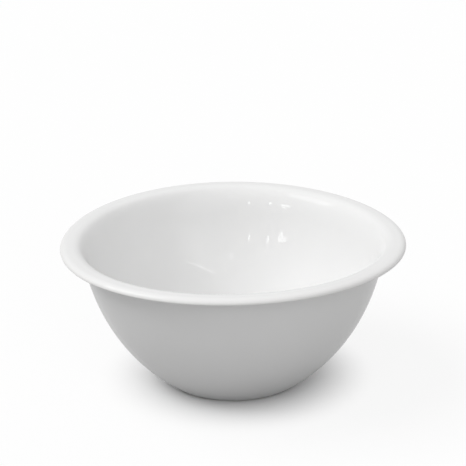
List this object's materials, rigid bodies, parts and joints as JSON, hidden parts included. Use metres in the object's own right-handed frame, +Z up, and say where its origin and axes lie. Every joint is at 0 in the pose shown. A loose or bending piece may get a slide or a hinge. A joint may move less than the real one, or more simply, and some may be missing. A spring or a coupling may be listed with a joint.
{
  "type": "salad bowl",
  "caption": "Round white glazed porcelain salad bowl with a level rim flange, a smoothly curved wall, a rounded inside floor and a bare standing ring round a shallow recess under the base.",
  "frame": {"origin": "centre of the foot ring's standing face", "axes": "+Z up along the bowl's axis of revolution, +X and +Y level"},
  "size_m": [0.26, 0.26, 0.112],
  "materials": {
    "bare_porcelain": "matte, fired and polished, without glaze",
    "white_glaze": "glossy white glaze"
  },
  "bodies": {
    "root": {"porcelain_body": "bare_porcelain", "glaze_coat": "white_glaze", "foot_recess_glaze": "white_glaze"}
  },
  "joints": []
}
